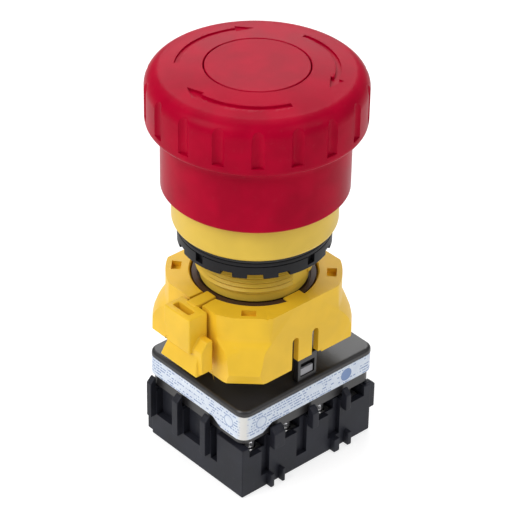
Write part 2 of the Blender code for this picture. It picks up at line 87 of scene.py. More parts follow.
CAP_TOP, SKIRT_BOTTOM = top_of("mushroom_cap"), foot_of("mushroom_cap")
BRIM_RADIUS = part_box("mushroom_cap")[1].x / MM
PANEL_FACE = 49.4
RING_TOP, RING_BOTTOM = top_of("locking_ring"), foot_of("locking_ring")
BASE_TOP, BASE_BOTTOM = top_of("bayonet_base"), foot_of("bayonet_base")
BLOCK_LOW, COVER_HIGH, TERMINAL_HIGH = Vector((-15.0, -14.4)), Vector((18.4, 13.2)), Vector((17.7, 11.9))
BLOCK_TOP = 19.5
AROUND = 2 * math.pi
CAMERA_SIDE = -131.0
print("head", SKIRT_BOTTOM, "to", CAP_TOP, "mm; base", BASE_BOTTOM, "to", BASE_TOP, "mm")

# %% [markdown]
# ## Camera, floor and light
#
# The camera looks down at one corner of the block from about a third of a right angle, through a
# long lens, which keeps the upright edges nearly parallel. A product shot on white needs soft light
# from all round: one large panel overhead that lays a pale sheen on the top of the head, one high
# behind that lights its far rim, and smaller panels at both sides that draw the edges.

# %% Camera
CAMERA_PLACE = Vector((-250.66, -278.05, 292.57)) * MM
CAMERA_TARGET = Vector((0.1, -0.1, 40.83)) * MM
camera_data = bpy.data.cameras.new("view")
camera_data.lens = 172.9
camera_data.sensor_width = 36.0
camera = bpy.data.objects.new("view", camera_data)
bpy.context.scene.collection.objects.link(camera)
aim = (CAMERA_TARGET - CAMERA_PLACE).to_track_quat("-Z", "Y")
camera.rotation_mode = "QUATERNION"
camera.rotation_quaternion = aim @ Quaternion((0, 0, 1), math.radians(1.0))
camera.location = CAMERA_PLACE
bpy.context.scene.camera = camera
print("camera at", [round(value, 3) for value in camera.location], "m, lens", camera_data.lens, "mm")

# %% Light
def soft_panel(name, place, size, watts, target=(0, 0, 40)):
    """A square area light that faces the object."""
    data = bpy.data.lights.new(name, "AREA")
    data.shape = "SQUARE"
    data.size = size
    data.energy = watts
    lamp = bpy.data.objects.new(name, data)
    lamp.location = Vector(place) * MM
    lamp.rotation_mode = "QUATERNION"
    lamp.rotation_quaternion = (Vector(target) * MM - lamp.location).to_track_quat("-Z", "Y")
    bpy.context.scene.collection.objects.link(lamp)
    return lamp


soft_panel("overhead_panel", (60, 160, 520), 0.42, 0.85)
soft_panel("back_panel", (333, 370, 335), 0.32, 1.0)
soft_panel("left_panel", (-370, 60, 400), 0.26, 1.6)
soft_panel("right_panel", (110, -350, 400), 0.26, 0.6)
world = bpy.data.worlds.new("studio")
world.use_nodes = True
world.node_tree.nodes["Background"].inputs["Color"].default_value = (0.97, 0.98, 1.0, 1.0)
world.node_tree.nodes["Background"].inputs["Strength"].default_value = 0.32
bpy.context.scene.world = world
bpy.context.scene.view_settings.view_transform = "Standard"
print("lit by", len(bpy.data.lights), "panels and a pale world")

# %% [markdown]
# ## Modelling helpers
#
# Operators act on whatever is selected, and the frame leaves its nodes selected, so every helper
# starts by clearing the selection. A turned part is made as on a lathe: one vertex is extruded
# along the profile, and the profile is spun round the axis. A moulded part is made from boxes and
# turned parts that are cut and joined with Booleans, and its edges are then bevelled.

# %% Selection and clean-up
def deselect():
    if bpy.context.mode != "OBJECT":
        bpy.ops.object.mode_set(mode="OBJECT")
    bpy.ops.object.select_all(action="DESELECT")


def activate(piece):
    deselect()
    piece.select_set(True)
    bpy.context.view_layer.objects.active = piece
    return piece


def settle(piece):
    """Moves the object's place, turn and scale into its mesh."""
    activate(piece)
    bpy.ops.object.transform_apply(location=True, rotation=True, scale=True)
    return piece


# %% Profiles
def eased(profile, radius, steps=3, closed=True):
    """The profile with every corner rounded, as a mould maker leaves it."""
    points = [Vector(point) for point in profile]
    count, result = len(points), []
    for index, corner in enumerate(points):
        if not closed and index in (0, count - 1):
            result.append(tuple(corner))
            continue
        back, ahead = points[index - 1] - corner, points[(index + 1) % count] - corner
        reach = min(radius, back.length * 0.45, ahead.length * 0.45)
        start, end = corner + back.normalized() * reach, corner + ahead.normalized() * reach
        for step in range(steps + 1):
            share = step / steps
            result.append(tuple(start.lerp(corner, share).lerp(corner.lerp(end, share), share)))
    return result


def arc(centre, radius, start, end, steps):
    """Points along an arc of a profile, with its angles in degrees."""
    angles = [math.radians(start + (end - start) * step / steps) for step in range(steps + 1)]
    return [(centre[0] + radius * math.cos(turn), centre[1] + radius * math.sin(turn)) for turn in angles]


# %% Turning on a lathe
def turn(name, profile, steps=128, closed=True, centre=(0, 0)):
    """Spins a profile of (radius, height) in millimetres round an upright axis."""
    deselect()
    points = [Vector((radius, 0, height)) * MM for radius, height in profile]
    if closed:
        points.append(points[0])
    bpy.ops.mesh.primitive_plane_add(size=0.01 * MM, location=points[0])
    piece = bpy.context.object
    piece.name = name
    bpy.ops.object.mode_set(mode="EDIT")
    bpy.ops.mesh.merge(type="CENTER")
    for here, there in zip(points, points[1:]):
        bpy.ops.mesh.extrude_region_move(TRANSFORM_OT_translate={"value": there - here})
    bpy.ops.mesh.select_all(action="SELECT")
    bpy.ops.mesh.spin(steps=steps, angle=AROUND, center=(0, 0, 0), axis=(0, 0, 1))
    bpy.ops.mesh.select_all(action="SELECT")
    bpy.ops.mesh.remove_doubles(threshold=1e-6)
    bpy.ops.mesh.normals_make_consistent(inside=False)
    bpy.ops.object.mode_set(mode="OBJECT")
    settle(piece)
    piece.location = (centre[0] * MM, centre[1] * MM, 0)
    return settle(piece)


def wedge(inner, outer, low, high, start, sweep):
    """A ring segment: an upright rectangle spun through part of a turn. Angles are in degrees."""
    deselect()
    middle = Vector(((inner + outer) / 2, 0, (low + high) / 2)) * MM
    bpy.ops.mesh.primitive_plane_add(size=1, location=middle, rotation=(math.pi / 2, 0, 0))
    piece = bpy.context.object
    piece.scale = ((outer - inner) * MM, (high - low) * MM, 1)
    settle(piece)
    bpy.ops.object.mode_set(mode="EDIT")
    bpy.ops.mesh.select_all(action="SELECT")
    steps = max(2, int(abs(sweep) / 3))
    bpy.ops.mesh.spin(steps=steps, angle=math.radians(-sweep), center=(0, 0, 0), axis=(0, 0, 1))
    bpy.ops.mesh.select_all(action="SELECT")
    bpy.ops.mesh.normals_make_consistent(inside=False)
    bpy.ops.object.mode_set(mode="OBJECT")
    piece.rotation_euler = (0, 0, math.radians(start))
    return settle(piece)


# %% Boxes, Booleans and bevels
def block(low, high, edge=0.0, steps=2):
    """A box between two corners, with all its edges rounded if an edge width is given."""
    deselect()
    low, high = Vector(low), Vector(high)
    bpy.ops.mesh.primitive_cube_add(size=1, location=(low + high) / 2 * MM)
    piece = bpy.context.object
    piece.scale = (high - low) * MM
    settle(piece)
    if edge:
        bevel(piece, edge, steps)
    return piece


def bevel(piece, width, steps=2, angle=40, clamp=True):
    """Rounds the edges that turn by more than an angle, clamped to what the shortest edge allows."""
    activate(piece)
    rounding = piece.modifiers.new("rounding", "BEVEL")
    rounding.width = width * MM
    rounding.segments = steps
    rounding.limit_method = "ANGLE"
    rounding.angle_limit = math.radians(angle)
    rounding.use_clamp_overlap = clamp
    rounding.miter_outer = "MITER_ARC"
    bpy.ops.object.modifier_apply(modifier=rounding.name)
    return piece


def join(pieces):
    activate(pieces[0])
    for piece in pieces[1:]:
        piece.select_set(True)
    if len(pieces) > 1:
        bpy.ops.object.join()
    return bpy.context.object


def boolean(piece, others, operation):
    """Cuts or adds one shape after another, and removes the helpers."""
    tool = join(others)
    activate(piece)
    change = piece.modifiers.new("change", "BOOLEAN")
    change.operation = operation
    change.solver = "EXACT"
    change.use_self = len(others) > 1
    change.object = tool
    bpy.ops.object.modifier_apply(modifier=change.name)
    bpy.data.objects.remove(tool)
    return piece


def cut(piece, *others):
    return boolean(piece, list(others), "DIFFERENCE")


def add(piece, *others):
    for other in others:
        boolean(piece, [other], "UNION")
    return piece


def tidy(piece, merge=0.002):
    """Merges doubles and dissolves the needless edges that Booleans leave on flat faces."""
    activate(piece)
    bpy.ops.object.mode_set(mode="EDIT")
    bpy.ops.mesh.select_all(action="SELECT")
    bpy.ops.mesh.remove_doubles(threshold=merge * MM)
    bpy.ops.mesh.dissolve_limited(angle_limit=math.radians(0.5))
    bpy.ops.object.mode_set(mode="OBJECT")
    return piece


def slice_off(piece, point, normal):
    """Bisects the piece and closes the cut. What lies beyond the plane is removed."""
    activate(piece)
    bpy.ops.object.mode_set(mode="EDIT")
    bpy.ops.mesh.select_all(action="SELECT")
    bpy.ops.mesh.bisect(plane_co=Vector(point) * MM, plane_no=Vector(normal), use_fill=True, clear_outer=True)
    bpy.ops.object.mode_set(mode="OBJECT")
    return piece

# %% [markdown]
# ## Shader helpers
#
# A wire is one output socket. Arithmetic on wires adds Math nodes, so a mask reads like a formula.
# Every other node comes from one method, which sets the node up and then fills its sockets.

# %% Wires
class Wire:
    """One output socket of a material, which can be added to, multiplied and so on."""

    def __init__(self, tree, socket):
        self.tree, self.socket = tree, socket

    def node(self, kind, settings=None, sockets=None, output=0):
        made = self.tree.nodes.new(kind)
        for key, value in (settings or {}).items():
            if key == "stops":
                ends = (made.color_ramp.elements[0], made.color_ramp.elements[1])
                for stop, (place, colour) in zip(ends, value):
                    stop.position, stop.color = place, colour
            else:
                setattr(made, key, value)
        for key, value in (sockets or {}).items():
            if isinstance(value, Wire):
                self.tree.links.new(value.socket, made.inputs[key])
            else:
                made.inputs[key].default_value = value
        return Wire(self.tree, made.outputs[output])

    def math(self, operation, first, second=0.0):
        return self.node("ShaderNodeMath", {"operation": operation}, {0: first, 1: second})

    def __add__(self, other):
        return self.math("ADD", self, other)

    __radd__ = __add__

    def __sub__(self, other):
        return self.math("SUBTRACT", self, other)

    def __rsub__(self, other):
        return self.math("SUBTRACT", other, self)

    def __mul__(self, other):
        return self.math("MULTIPLY", self, other)

    __rmul__ = __mul__

    def apply(self, operation):
        return self.math(operation, self)

    def over(self, limit):
        return self.math("GREATER_THAN", self, limit)

    def between(self, low, high):
        """0 at low, 1 at high, and clamped outside."""
        ends = {"Value": self, "From Min": low, "From Max": high}
        return self.node("ShaderNodeMapRange", {"clamp": True}, ends)


class Finish:
    """A material with its Principled shader, and its pattern space in millimetres."""

    def __init__(self, name, **fixed):
        self.material = bpy.data.materials.new(name)
        self.material.use_nodes = True
        self.tree = self.material.node_tree
        self.shader = self.tree.nodes["Principled BSDF"]
        place = self.tree.nodes.new("ShaderNodeTexCoord")
        metres = Wire(self.tree, place.outputs["Object"])
        self.space = metres.node("ShaderNodeVectorMath", {"operation": "SCALE"}, {0: metres, "Scale": 1 / MM})
        for key, value in fixed.items():
            self.shader.inputs[key.replace("_", " ")].default_value = value

    def noise(self, size, detail=3.0, stretch=None):
        """Soft noise from 0 to 1, whose lumps are about size millimetres across."""
        space = self.space
        if stretch:
            space = space.node("ShaderNodeMapping", {}, {"Vector": space, "Scale": stretch})
        sockets = {"Vector": space, "Scale": 1.0 / size, "Detail": detail}
        return space.node("ShaderNodeTexNoise", {}, sockets)

    def mix(self, share, first, second):
        sockets = {0: share, 6: first, 7: second}
        return self.space.node("ShaderNodeMix", {"data_type": "RGBA"}, sockets, 2)

    def feed(self, **wires):
        for key, wire in wires.items():
            self.tree.links.new(wire.socket, self.shader.inputs[key.replace("_", " ")])
        return self

    def relief(self, height, depth, strength=1.0):
        """Bump of a depth in millimetres."""
        sockets = {"Height": height, "Distance": depth * MM, "Strength": strength}
        return self.feed(Normal=height.node("ShaderNodeBump", {}, sockets))


# %% [markdown]
# ## Finishes
#
# Injection-moulded plastic isn't flat. It has the fine spark-eroded grain of its mould, slow
# changes of gloss where the melt cooled unevenly, and a little dust and rub on what is handled. So
# each plastic mixes its own colour with a slightly paler and a slightly deeper one, and changes its
# roughness by the same slow noise. Metals have drawn or plated streaks instead.

# %% Plastics
def moulded(name, colour, rough, grain=0.16, depth=0.006, change=0.10, bloom=0.02, **fixed):
    """A moulded plastic: slow changes of colour and gloss, fine grain, and a trace of dust."""
    made = Finish(name, **fixed)
    slow, fine = made.noise(6.0, 2.0), made.noise(grain, 2.0)
    dust = made.noise(0.9, 4.0).between(0.62, 0.8)
    deep = tuple(channel * (1 - change) for channel in colour) + (1.0,)
    pale = tuple(min(1.0, channel * (1 + change)) for channel in colour) + (1.0,)
    body = made.mix(slow.between(0.35, 0.65), deep, pale)
    made.feed(Base_Color=made.mix(dust * bloom, body, (0.75, 0.75, 0.73, 1.0)))
    made.feed(Roughness=rough + (slow - 0.5) * 0.12 + (fine - 0.5) * 0.08 + dust * 0.06)
    return made.relief(fine + slow * 0.5, depth).material


red_plastic = moulded("red_moulding", (0.365, 0.0005, 0.020), 0.34, bloom=0.008, Specular_IOR_Level=0.04)
yellow_plastic = moulded("yellow_moulding", (0.82, 0.50, 0.024), 0.42, change=0.05, Specular_IOR_Level=0.25)
# A darker copy of the yellow for the collar and neck: the shade that the head casts on them is painted into its
# colour.
shaded_yellow_plastic = moulded("operator_yellow_painted_shade", (0.68, 0.46, 0.055), 0.42, change=0.05,
                          Specular_IOR_Level=0.25)
black_plastic = moulded("black_moulding", (0.013, 0.012, 0.013), 0.38, grain=0.22, depth=0.010, change=0.25,
                        Specular_IOR_Level=0.6)
grey_plastic = moulded("grey_moulding", (0.30, 0.30, 0.32), 0.45)
ring_plastic = moulded("matt_black_moulding", (0.008, 0.008, 0.010), 0.5, change=0.2, Specular_IOR_Level=0.2)
brown_plastic = moulded("brown_black_moulding", (0.050, 0.024, 0.014), 0.45, change=0.2,
                        Specular_IOR_Level=0.25)
base_plastic = moulded("blue_black_moulding", (0.016, 0.017, 0.024), 0.50, grain=0.2, depth=0.008, change=0.2,
                       Specular_IOR_Level=0.2)
acetal = moulded("natural_acetal", (0.80, 0.79, 0.73), 0.38, change=0.04)
rubber = moulded("black_rubber", (0.012, 0.012, 0.012), 0.72, grain=0.12, depth=0.014, change=0.3, bloom=0.06)


# %% Metals
def metal(name, colour, rough, streak):
    """A plated or drawn metal: fine streaks along one way, with dull spots."""
    made = Finish(name, Metallic=1.0)
    lines, spots = made.noise(0.25, 4.0, streak), made.noise(1.6, 3.0)
    dull = tuple(channel * 0.72 for channel in colour) + (1.0,)
    made.feed(Base_Color=made.mix(spots.between(0.4, 0.7), dull, (*colour, 1.0)))
    made.feed(Roughness=rough + lines * 0.18 + (spots - 0.5) * 0.1)
    return made.relief(lines, 0.004).material


zinc_steel = metal("zinc_plated_steel", (0.70, 0.70, 0.72), 0.22, (1.0, 1.0, 0.12))
spring_steel = metal("spring_steel", (0.55, 0.54, 0.53), 0.25, (0.2, 0.2, 1.0))
tinned = metal("tinned_strip", (0.82, 0.81, 0.78), 0.24, (0.15, 1.0, 1.0))
brass = metal("brass_strip", (0.80, 0.58, 0.28), 0.24, (0.15, 1.0, 1.0))


# %% Handing a piece to the frame
def fit(piece, name, body, node, finish, smooth=35):
    """Names the piece, gives it its finish and body, and puts it in its CAD node's place."""
    activate(piece)
    piece.name = name
    piece.data.name = name
    piece.data.materials.clear()
    piece.data.materials.append(finish)
    bpy.ops.object.shade_smooth_by_angle(angle=math.radians(smooth))
    even = piece.modifiers.new("even_normals", "WEIGHTED_NORMAL")
    even.keep_sharp = True
    bpy.ops.object.modifier_apply(modifier=even.name)
    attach(piece, body)
    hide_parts(*([node] if isinstance(node, str) else node))
    print(f"{name}: {len(piece.data.polygons)} faces on {body}")
    return piece


# %% [markdown]
# ## The floor
#
# A plain pale sheet, large enough to fill the view from any side.

# %% Floor
deselect()
bpy.ops.mesh.primitive_plane_add(size=6.0, location=(0, 0, -0.0002))
floor = bpy.context.object
floor.name = "floor"
floor_finish = Finish("floor_paper", Specular_IOR_Level=0.0, Emission_Color=(1, 1, 1, 1),
                      Emission_Strength=0.72)
paper = floor_finish.noise(40.0, 2.0)
floor_finish.feed(Base_Color=floor_finish.mix(paper, (0.42, 0.42, 0.42, 1.0), (0.45, 0.45, 0.45, 1.0)))
floor_finish.feed(Roughness=0.8 + paper * 0.1)
floor.data.materials.append(floor_finish.material)

# %% [markdown]
# ## The mushroom head
#
# The head is one thick moulding: a brim for the palm, a skirt that hides the collar, and a boss
# inside for the return spring. It is turned from one profile. Its flutes are cut with flat-ended
# rods set out round the brim, and three shallow arrows show which way to turn it to reset it.

# %% Head profile
FLUTES = 18
FLUTE_PLACE, FLUTE_RADIUS, FLUTE_FOOT = 20.85, 1.45, 71.7
DOME_RADIUS, GROOVE_RADIUS = 16.8, 9.6
SHOULDER_FOOT = 77.1


def dome(radius):
    """The height of the gently domed top outside the centre disc."""
    reach = radius - GROOVE_RADIUS
    return CAP_TOP - 0.085 * reach - 0.004 * reach ** 2


width, drop = BRIM_RADIUS - DOME_RADIUS, dome(DOME_RADIUS) - SHOULDER_FOOT
shoulder = [
    (DOME_RADIUS + width * math.sin(turn_by), SHOULDER_FOOT + drop * math.cos(turn_by))
    for turn_by in [math.radians(7.5 * step) for step in range(13)]
]
outside = [(BRIM_RADIUS, 71.0), (19.9, 70.5), (19.75, 70.25), (19.2, 69.9), (17.9, 69.4)]
outside += [(17.5, 68.9), (17.3, 68.2)]
skirt = [(17.25, 67.4), (17.25, SKIRT_BOTTOM + 0.35), (16.95, SKIRT_BOTTOM), (15.75, SKIRT_BOTTOM)]
inside = [(15.65, SKIRT_BOTTOM + 0.1), (15.65, 74.8), (14.4, 76.0), (11.0, 76.0), (11.0, 68.3)]
inside += [(8.4, 68.3), (8.4, 76.0)]
socket = [(1.9, 76.0), (1.9, 77.0), (3.5, 77.0), (3.5, 79.4), (GROOVE_RADIUS, 79.4)]
lip = [(GROOVE_RADIUS, CAP_TOP - 0.12), (GROOVE_RADIUS + 0.12, CAP_TOP)]
lip += [(radius, dome(radius)) for radius in (10.85, 12.1, 13.35, 14.45, 15.6)]
cap = turn("cap", socket + lip + shoulder + outside + skirt + inside, steps=180)
print("turned head:", len(cap.data.polygons), "faces")


# %% [markdown]
# The flutes stop short of the brim's foot, which leaves a ledge under each. The bevel comes after
# the arrows, so that the Booleans meet only plain rings.

# %% Flutes and arrows
ARROW_TAILS = (134.0, 13.0, -107.0)


def flute(angle):
    spot = (FLUTE_PLACE * math.cos(angle), FLUTE_PLACE * math.sin(angle))
    profile = [(0, FLUTE_FOOT), (FLUTE_RADIUS, FLUTE_FOOT), (FLUTE_RADIUS, 83), (0, 83)]
    return turn("flute", profile, 28, False, spot)


def arrow(tail, sweep=86.0, middle=14.25, width=1.0, floor_height=80.12):
    """A curved arrow that points clockwise: a ring segment with a three-sided head."""
    neck = math.radians(tail - sweep * 0.86)
    shaft = wedge(middle - width / 2, middle + width / 2, floor_height, CAP_TOP + 1, tail, -sweep * 0.88)
    deselect()
    spot = Vector((middle * math.cos(neck), middle * math.sin(neck), floor_height + 1)) * MM
    bpy.ops.mesh.primitive_cylinder_add(vertices=3, radius=1.5 * MM, depth=2 * MM, location=spot)
    head = bpy.context.object
    head.scale = (1.0, 1.55, 1)
    bpy.ops.object.transform_apply(location=False, rotation=False, scale=True)
    head.rotation_euler = (0, 0, neck - math.pi - math.radians(5))
    return shaft, settle(head)


cut(cap, *[flute(math.radians(CAMERA_SIDE + 360 / FLUTES * step)) for step in range(FLUTES)])
for tail in ARROW_TAILS:
    for part in arrow(tail):
        cut(cap, part)
        print("cap faces after an arrow cut:", len(cap.data.polygons))
bevel(tidy(cap), 0.14, 2, 35)
fit(cap, "mushroom_cap_moulding", "head", "mushroom_cap", red_plastic)

# %% [markdown]
# The disc in the middle of the head is a separate plug over the fixing screw. Its thin joint
# shows as a fine ring, so the plug keeps a small gap and a softened rim.

# %% Centre disc and its screw
disc_edge = [(9.4, 79.7), (9.4, CAP_TOP - 0.12), (9.28, CAP_TOP), (6.0, CAP_TOP), (0, CAP_TOP)]
disc = turn("disc", [(0, 79.7), *disc_edge], 144, False)
fit(disc, "centre_disc_plug", "head", "centre_disc", red_plastic)
screw_profile = [(0, 69.0), (1.2, 69.0), (1.5, 69.4), (1.5, 77.3), (3.1, 77.3), (3.1, 78.2)]
screw_profile += [(2.5, 78.9), (0, 79.1)]
head_screw = turn("head_screw", eased(screw_profile, 0.12, 2, False), 48, False)
cut(head_screw, block((-1.8, -0.3, 78.2), (1.8, 0.3, 80)), block((-0.3, -1.8, 78.2), (0.3, 1.8, 80)))
fit(head_screw, "cap_fixing_screw", "head", "cap_screw", zinc_steel)

# %% [markdown]
# ## The operator
#
# Collar and neck are one yellow moulding. The thread is a real helix: a small tooth profile runs
# up the neck with a Screw modifier. A flat without thread keys the neck in its panel hole.

# %% Collar and neck
collar = [(10.35, PANEL_FACE), (14.75, PANEL_FACE), (15.15, PANEL_FACE + 0.35), (15.3, PANEL_FACE + 0.8)]
collar += [(15.3, 61.0), (14.7, 61.6), (11.3, 61.6), (11.3, 54.0), (8.2, 54.0), (8.2, 33.0), (9.1, 33.0)]
collar += [(9.1, 37.0), (10.0, 37.3), (10.15, 37.5), (10.15, 39.0), (10.35, 39.3)]
housing = turn("housing", eased(collar, 0.12, 2), 160)
print("collar and neck:", len(housing.data.polygons), "faces")
for side in (1, -1):
    deselect()
    bpy.ops.mesh.primitive_cylinder_add(vertices=24, radius=1.35 * MM, depth=6.9 * MM,
                                        location=Vector((0, side * 10.45, 51.9)) * MM,
                                        rotation=(math.pi / 2, 0, 0))
    cut(housing, settle(bpy.context.object))

# %% Thread
PITCH, THREAD_LOW, THREAD_HIGH = 1.0, 39.4, 48.6


def thread(start, turns):
    """A tooth of the thread, run up the neck as a helix and closed at both ends."""
    deselect()
    spot = Vector((10.5, 0, start)) * MM
    bpy.ops.mesh.primitive_circle_add(vertices=4, radius=0.45 * MM, location=spot,
                                      rotation=(math.pi / 2, 0, 0))
    tooth = bpy.context.object
    bpy.ops.object.transform_apply(location=True, rotation=True, scale=True)
    screw = tooth.modifiers.new("helix", "SCREW")
    screw.angle = AROUND * turns
    screw.screw_offset = PITCH * turns * MM
    screw.steps = screw.render_steps = int(96 * turns)
    bpy.ops.object.modifier_apply(modifier=screw.name)
    bpy.ops.object.mode_set(mode="EDIT")
    bpy.ops.mesh.select_all(action="SELECT")
    bpy.ops.mesh.fill_holes(sides=0)
    bpy.ops.mesh.select_all(action="SELECT")
    bpy.ops.mesh.normals_make_consistent(inside=False)
    bpy.ops.object.mode_set(mode="OBJECT")
    return tooth


helix = thread(THREAD_LOW, THREAD_HIGH - THREAD_LOW)
for key_side in (-91, 89):
    cut(helix, wedge(9, 12, 38, 50, key_side, 28))
housing = join([housing, helix])
# The collar and neck take the darker yellow, with the head's shade painted in.
fit(housing, "threaded_operator_housing", "contact_unit", "operator_housing", shaded_yellow_plastic)

# %% [markdown]
# Under the collar sit the gasket, a washer and the locking ring. The ring's lower edge is cut
# into four long and eight short lugs, which a pin wrench turns from behind the panel.

# %% Gasket, washer and locking ring
gasket = turn("gasket", eased([(11.25, 48.5), (14.2, 48.5), (14.2, 49.25), (11.25, 49.25)], 0.1), 128)
fit(gasket, "panel_gasket_ring", "contact_unit", "panel_gasket", rubber)
washer = turn("washer", eased([(11.25, 47.7), (14.2, 47.7), (14.2, 48.4), (11.25, 48.4)], 0.08, 2), 128)
fit(washer, "clamp_washer_ring", "washer", "clamp_washer", ring_plastic)
ring_profile = [(11.25, RING_BOTTOM), (14.25, RING_BOTTOM), (14.25, RING_TOP + 0.1), (11.25, RING_TOP + 0.1)]
ring = turn("ring", eased(ring_profile, 0.08, 2), 144)
PHASE = 4
NOTCHES = ((19, 9), (39, 12), (62, 9))
notches = [wedge(10, 16, RING_BOTTOM - 1, RING_BOTTOM + 0.9, 90 * quarter + PHASE + start, sweep)
           for quarter in range(4) for start, sweep in NOTCHES]
sockets = [wedge(13.4, 16, RING_BOTTOM + 0.7, RING_TOP + 1, 90 * quarter + PHASE - 3.5, 7)
           for quarter in range(4)]
print(len(notches), "notches and", len(sockets), "spanner sockets")
for shape in notches + sockets:
    cut(ring, shape)
bevel(tidy(ring), 0.1, 2, 40)
fit(ring, "castellated_locking_ring", "ring", "locking_ring", ring_plastic)

# %% [markdown]
# ## The bayonet base
#
# The yellow base starts as a turned body that flares out towards its foot. One of its four lobes is
# a little larger, so its points are pushed outwards. Four flats are then sliced off, which leaves
# rounded corners above and lobes below. A push leaves four-sided faces that are no longer flat, and
# a Boolean that meets one can lose a wall, so every face is made a triangle before the first facet
# is cut and before each cut at the foot.

# %% Turned body with flats
FLATS = {(-1, 0): 15.05, (1, 0): 14.2, (0, -1): 14.3, (0, 1): 13.2}
FRONT = math.radians(-133)
LARGER_LOBE = 1.022
SHELL_WALL = 1.3


def triangles(body):
    """Makes every face a triangle, so that each is flat and a Boolean can trust its plane."""
    activate(body)
    bpy.ops.object.mode_set(mode="EDIT")
    bpy.ops.mesh.select_all(action="SELECT")
    bpy.ops.mesh.remove_doubles(threshold=0.01 * MM)
    bpy.ops.mesh.quads_convert_to_tris()
    bpy.ops.object.mode_set(mode="OBJECT")
    return body


def swell(body, factor):
    """Pushes the lobe between -X and +Y outwards, which is a little larger than the other three."""
    activate(body)
    bpy.ops.object.mode_set(mode="EDIT")
    bpy.ops.mesh.select_mode(type="VERT")
    bpy.ops.mesh.select_all(action="DESELECT")
    bpy.ops.object.mode_set(mode="OBJECT")
    for vertex in body.data.vertices:
        place = vertex.co / MM
        vertex.select = place.x < 0 < place.y and place.z < 31.5 and math.hypot(place.x, place.y) > 17
    bpy.ops.object.mode_set(mode="EDIT")
    bpy.ops.transform.resize(value=(factor, factor, 1), center_override=(0, 0, 0))
    bpy.ops.object.mode_set(mode="OBJECT")
    return triangles(body)


def base_body(name, profile, inset, steps=144, left=1.0):
    body = swell(turn(name, profile, steps, False), left)
    for (x, y), distance in FLATS.items():
        reach = distance - inset
        slice_off(body, (x * reach, y * reach, 30), (x, y, 0))
    return triangles(body)


outer = [(0, BASE_BOTTOM), (18.3, BASE_BOTTOM), (18.5, BASE_BOTTOM + 0.6), (18.45, 27.6), (18.1, 29.2)]
outer += [(17.3, 31.0), (16.6, 32.4), (16.4, 33.2), (16.4, BASE_TOP), (0, BASE_TOP)]
base = base_body("base", outer, 0, left=LARGER_LOBE)
print("base body:", len(base.data.vertices), "points")

# %% [markdown]
# The front lobe is faceted by two leaning blocks. Notches free the foot from the block below, and
# two slots with round ends free the snap finger.

# %% Facets and slots
def front_facet(body, radius, height, lean):
    """Cuts the front corner off with a block that leans by an angle in degrees."""
    beyond = block((0, -30, -30), (30, 30, 30))
    beyond.location = Vector((radius * math.cos(FRONT), radius * math.sin(FRONT), height)) * MM
    beyond.rotation_euler = (0, -math.radians(lean), FRONT)
    cut(body, settle(beyond))


def rounded_slot(x_low, x_high, top):
    """A slot up from the foot of the front flat with a round end."""
    radius = (x_high - x_low) / 2
    deselect()
    spot = Vector(((x_low + x_high) / 2, -14, top - radius)) * MM
    bpy.ops.mesh.primitive_cylinder_add(vertices=12, radius=radius * MM, depth=6 * MM, location=spot,
                                        rotation=(math.pi / 2, 0, 0))
    end = settle(bpy.context.object)
    return block((x_low, -17, 22), (x_high, -11, top - radius)), end


front_facet(base, 16.95, 32.4, 9)
front_facet(base, 17.75, 25.8, -20)
for low, high in (((3.4, -17, 20), (20, -10, 24.8)), ((-20, 3.4, 20), (-10, 20, 24.9))):
    cut(triangles(base), block(low, high))
for low, high, top in ((-3.1, -1.55, 30.9), (1.8, 3.35, 30.9)):
    for shape in rounded_slot(low, high, top):
        cut(triangles(base), shape)
cut(triangles(base), block((-1.8, -17, 22), (4.3, -11.5, 25.25)))
print("faceted base:", len(base.data.vertices), "points")

# %% [markdown]
# A smaller copy of the same body hollows the base, and a bore lets the neck in. Small pockets and
# a notch for the lever lock are cut in the top. The bevel comes after all the cuts, because its
# slivers would upset them, and the key that guides the neck is a block set in the rim.

# %% Hollow and bore
hollow = [(0, BASE_BOTTOM - 1), (16.9, BASE_BOTTOM - 1), (16.9, 27.6), (15.0, 31.6), (14.9, 36.0)]
hollow += [(0, 36.0)]
cut(base, base_body("hollow", hollow, SHELL_WALL, 72))
mouth = [(0, 34), (11.9, 34), (11.9, BASE_TOP - 0.25), (12.15, BASE_TOP), (12.3, 40), (0, 40)]
cut(base, turn("bore", mouth, 128, False))
print("hollow base:", len(base.data.vertices), "points")

# %% Pockets, notch and key
for corner in (-135, -45, 45, 135):
    pocket = block((13.5, -1.4, 36.6), (15.3, 1.4, 39))
    pocket.rotation_euler = (0, 0, math.radians(corner))
    cut(base, settle(pocket))
cut(base, block((-17, -2.85, 36.0), (-11.0, 0.5, 39)))
bevel(tidy(base, 0.3), 0.3, 3, 28)
key = bevel(block((-2.2, -13.1, 37.2), (1.7, -10.5, BASE_TOP - 0.02)), 0.12, 2)
base = join([base, key])
fit(base, "bayonet_base_moulding", "contact_unit", "bayonet_base", yellow_plastic, 32)

# %% [markdown]
# Inside the base turns the brown-black bayonet ring, which grips the neck. Only its rim shows, as a
# dark crescent beside the neck.

# %% Bayonet ring
bayonet_profile = [(9.4, 31.0), (10.9, 31.0), (10.9, 35.6), (11.6, 35.6), (11.6, 37.5), (10.5, 37.5)]
bayonet_profile += [(10.5, 36.9), (9.4, 36.9)]
bayonet = turn("bayonet", eased(bayonet_profile, 0.12), 120)
cut(bayonet, block((-1.5, -12, 29), (1.5, 12, 33)), block((-12, -1.5, 29), (12, 1.5, 33)))
fit(bayonet, "bayonet_ring_moulding", "bayonet", "bayonet_ring", brown_plastic)

# %% [markdown]
# ## The lever lock
#
# The lock is a small clip that is pulled out before the unit comes off its operator. An arm
# reaches through the base to the neck, and the grip has a slot for a screwdriver, a waist and a
# flared foot whose face leans outwards.

# %% Lever lock
LOCK_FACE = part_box("lever_lock")[0].x / MM


